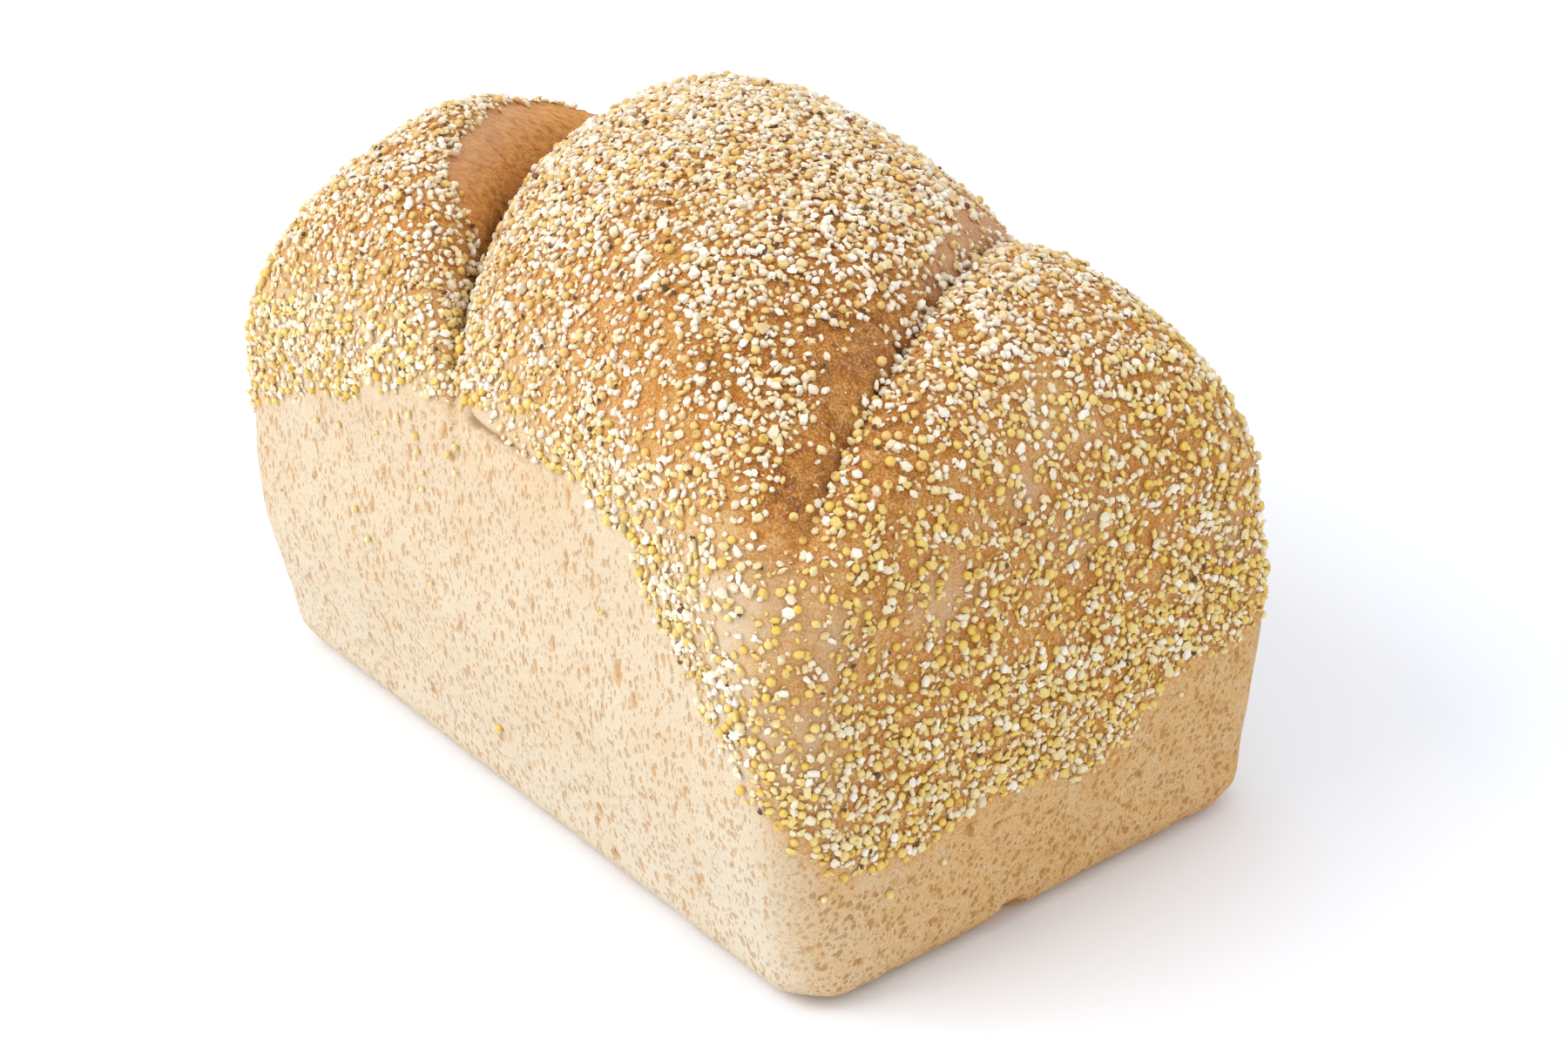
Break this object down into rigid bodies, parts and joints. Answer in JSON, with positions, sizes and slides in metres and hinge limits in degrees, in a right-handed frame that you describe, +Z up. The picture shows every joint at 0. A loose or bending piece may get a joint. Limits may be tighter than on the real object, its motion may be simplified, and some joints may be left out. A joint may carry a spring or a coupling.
{
  "type": "spelt loaf",
  "caption": "Whole tin loaf of spelt bread with a domed top of three skewed lobes and a coat of grain, flat underneath.",
  "frame": {"origin": "middle of the footprint on the flat underside", "axes": "+X along the loaf towards the end with the lowest lobe, +Y across it, +Z up"},
  "size_m": [0.1874, 0.1172, 0.1251],
  "materials": {
    "crust": "matt baked bread crust, golden brown over the dome and pale cream on the tin sides, with fine pores",
    "whole_grain": "yellow husked millet, dry and slightly satin",
    "cracked_grain": "cream to white cracked grain, dry and matt"
  },
  "bodies": {
    "root": {"loaf": "crust"}
  },
  "joints": []
}
